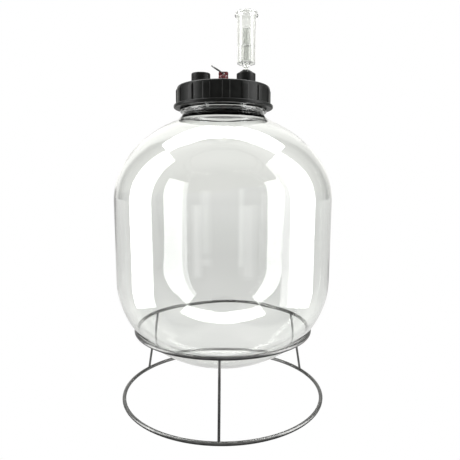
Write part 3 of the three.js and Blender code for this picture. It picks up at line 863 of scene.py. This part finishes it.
def make_pull_ring():
    """The ring hangs in the tab's eye, leans up to the left and is twisted a little."""
    lean = math.radians(PULL_RING.lean)
    along = Vector((-math.cos(lean), 0, math.sin(lean)))
    across = Quaternion(along, -math.radians(PULL_RING.twist)) @ Vector((0, 1, 0))
    centre = Vector((0, 0, TAB.eye_z)) + along * PULL_RING.r
    count = 96
    path = []
    for k in range(count):
        angle = 2 * math.pi * k / count
        path.append((centre + (along * math.cos(angle) + across * math.sin(angle)) * PULL_RING.r) * MM)
    ring = tube("relief_valve_pull_ring_model", path, PULL_RING.wire_r * MM, closed=True)
    dress(ring, "relief_valve_pull_ring", STEEL)


make_stand()
make_vessel()
make_collar()
make_lid_plate()
make_seal()
make_cap("blank", -POST.x, 0, 0)
make_cap("airlock", POST.x, CAP.hole_r, LINER.hole_r)
make_grommet()
make_airlock_body()
make_airlock_float()
make_airlock_lid()
make_valve_washer()
make_valve_body()
make_valve_bonnet()
make_valve_stem()
make_seat_disc()
make_spring()
make_pull_ring()

# ------------------------------------------------------------------ the studio, in metres and degrees

CAMERA = Sizes(distance=0.7526, height=0.3629, azimuth=1.87, pitch=6.48, pan=0.86, roll=0.2, lens=35.88,
               sensor=36)

# Brightness of the studio round the horizon: degrees from the back, to the right.
WALLS = ((-180, 0.5), (-130, 0.42), (-112, 0.45), (-85, 0.9), (-63, 0.2), (-50, 0.05), (-38, 0.95),
         (-20, 1.0), (-12, 0.77), (12, 0.77), (20, 0.95), (34, 0.6), (43, 0.1), (55, 0.3), (85, 0.9),
         (112, 0.45), (130, 0.42), (180, 0.5))
# Its gain with height, by the sine of the elevation.
RISE = ((0.0, 1.0), (0.06, 1.07), (0.17, 1.25), (0.5, 1.35), (1.0, 1.35))
# Brightness of the floor, from the camera's side to the back.
FLOOR = ((-3, 0.6), (-0.6, 0.25), (-0.16, 0.2), (0.05, 0.82), (0.42, 0.84), (0.62, 0.7), (1.07, 0.66),
         (2, 0.68), (4.4, 0.72), (12, 0.77))

# Area lights: name, place, the spot it faces, width, height and power in watts.
SOFTBOXES = (
    ("left_softbox", (-0.47, -0.14, 0.45), (0, -0.14, 0.45), 0.25, 0.95, 4.6),
    ("right_softbox", (0.47, -0.1325, 0.45), (0, -0.1325, 0.45), 0.265, 0.95, 4.87),
    ("right_softbox_edge", (0.47, -0.3075, 0.45), (0, -0.3075, 0.45), 0.085, 0.95, 0.76),
    ("top_softbox", (0, 0.15, 1.2), (0, 0.1, 0), 1.4, 0.37, 12.8),
)
# Strips in front: name, place, width and the power of each layer. Each is a stack of narrower ones, so its
# edges are soft.
STRIPS = (
    ("front_left_strip", (-0.43, -1.07, 0.12), 0.2, 0.1),
    ("front_right_strip", (0.48, -1.05, 0.12), 0.36, 0.15),
)
STRIP_TARGET = (0, 0, 0.25)
STRIP_HEIGHT = 0.4
STRIP_LAYERS = (0.4, 0.6, 0.8, 1.0)


def make_camera():
    data = bpy.data.cameras.new("camera")
    data.lens = CAMERA.lens
    data.sensor_width = CAMERA.sensor
    data.clip_start = 0.05
    camera = add("camera", data)
    azimuth = math.radians(CAMERA.azimuth)
    camera.location = (CAMERA.distance * math.sin(azimuth), -CAMERA.distance * math.cos(azimuth),
                       CAMERA.height)
    upright = Matrix.Rotation(azimuth - math.radians(CAMERA.pan), 4, "Z")
    tilt = Matrix.Rotation(math.radians(90 - CAMERA.pitch), 4, "X")
    roll = Matrix.Rotation(math.radians(CAMERA.roll), 4, "Z")
    camera.rotation_mode = "QUATERNION"
    camera.rotation_quaternion = (upright @ tilt @ roll).to_quaternion()
    bpy.context.scene.camera = camera


def ramp_nodes(nodes, links, value, low, high, stops):
    """Runs a value from low to high through a grey ramp. Stops are (value, brightness)."""
    share = nodes.new("ShaderNodeMapRange")
    share.inputs["From Min"].default_value = low
    share.inputs["From Max"].default_value = high
    links.new(value, share.inputs["Value"])
    ramp = nodes.new("ShaderNodeValToRGB")
    ramp.color_ramp.interpolation = "EASE"
    points = ramp.color_ramp.elements
    while len(points) < len(stops):
        points.new(1.0)
    for point, (at, grey) in zip(points, stops):
        point.position = (at - low) / (high - low)
        point.color = (grey, grey, grey * 0.985, 1)
    links.new(share.outputs["Result"], ramp.inputs["Fac"])
    return ramp.outputs["Color"]


def unseen(nodes, links, shade):
    """White straight to the camera, and a shade of the studio in reflections and through glass."""
    path = nodes.new("ShaderNodeLightPath")
    mix = nodes.new("ShaderNodeMix")
    mix.data_type = "RGBA"
    mix.inputs["B"].default_value = (1, 1, 1, 1)
    links.new(path.outputs["Is Camera Ray"], mix.inputs["Factor"])
    links.new(shade, mix.inputs["A"])
    return mix.outputs["Result"]


def make_walls():
    """The studio round the object, as the world's background."""
    world = bpy.data.worlds.new("studio")
    world.use_nodes = True
    bpy.context.scene.world = world
    nodes, links = world.node_tree.nodes, world.node_tree.links
    way = nodes.new("ShaderNodeSeparateXYZ")
    links.new(nodes.new("ShaderNodeTexCoord").outputs["Generated"], way.inputs["Vector"])
    turn = nodes.new("ShaderNodeMath")
    turn.operation = "ARCTAN2"
    links.new(way.outputs["X"], turn.inputs[0])
    links.new(way.outputs["Y"], turn.inputs[1])
    stops = [(math.radians(degrees), grey) for degrees, grey in WALLS]
    walls = ramp_nodes(nodes, links, turn.outputs["Value"], -math.pi, math.pi, stops)
    # A ramp holds no more than 1, so the gain is halved in it and doubled after it.
    rise = ramp_nodes(nodes, links, way.outputs["Z"], 0.0, 1.0, [(z, gain / 2) for z, gain in RISE])
    both = nodes.new("ShaderNodeVectorMath")
    both.operation = "MULTIPLY"
    links.new(walls, both.inputs[0])
    links.new(rise, both.inputs[1])
    twice = nodes.new("ShaderNodeVectorMath")
    twice.operation = "SCALE"
    twice.inputs["Scale"].default_value = 2
    links.new(both.outputs["Vector"], twice.inputs[0])
    links.new(unseen(nodes, links, twice.outputs["Vector"]), nodes["Background"].inputs["Color"])


def make_floor():
    low, high = FLOOR[0][0], FLOOR[-1][0]
    size = high
    mesh = bpy.data.meshes.new("floor")
    corners = [(-size, -size, 0), (size, -size, 0), (size, size, 0), (-size, size, 0)]
    mesh.from_pydata(corners, [], [(0, 1, 2, 3)])
    floor = add("floor", mesh)
    floor.location.z = -0.0005
    material = bpy.data.materials.new("floor")
    material.use_nodes = True
    nodes, links = material.node_tree.nodes, material.node_tree.links
    nodes.clear()
    output = nodes.new("ShaderNodeOutputMaterial")
    glow = nodes.new("ShaderNodeEmission")
    spot = nodes.new("ShaderNodeSeparateXYZ")
    links.new(nodes.new("ShaderNodeTexCoord").outputs["Object"], spot.inputs["Vector"])
    shade = ramp_nodes(nodes, links, spot.outputs["Y"], low, high, FLOOR)
    links.new(unseen(nodes, links, shade), glow.inputs["Color"])
    links.new(glow.outputs["Emission"], output.inputs["Surface"])
    mesh.materials.append(material)


def softbox(name, place, target, width, height, power):
    data = bpy.data.lights.new(name, "AREA")
    data.shape = "RECTANGLE"
    data.size, data.size_y = width, height
    data.energy = power
    light = add(name, data)
    light.location = place
    light.rotation_mode = "QUATERNION"
    light.rotation_quaternion = (Vector(target) - Vector(place)).to_track_quat("-Z", "Y")


def make_lights():
    for box in SOFTBOXES:
        softbox(*box)
    for name, place, width, power in STRIPS:
        for share in STRIP_LAYERS:
            height = STRIP_HEIGHT * (0.7 + 0.3 * share)
            softbox(name, place, STRIP_TARGET, width * share, height, power)


make_camera()
make_walls()
make_floor()
make_lights()
bpy.context.scene.view_settings.view_transform = "Standard"
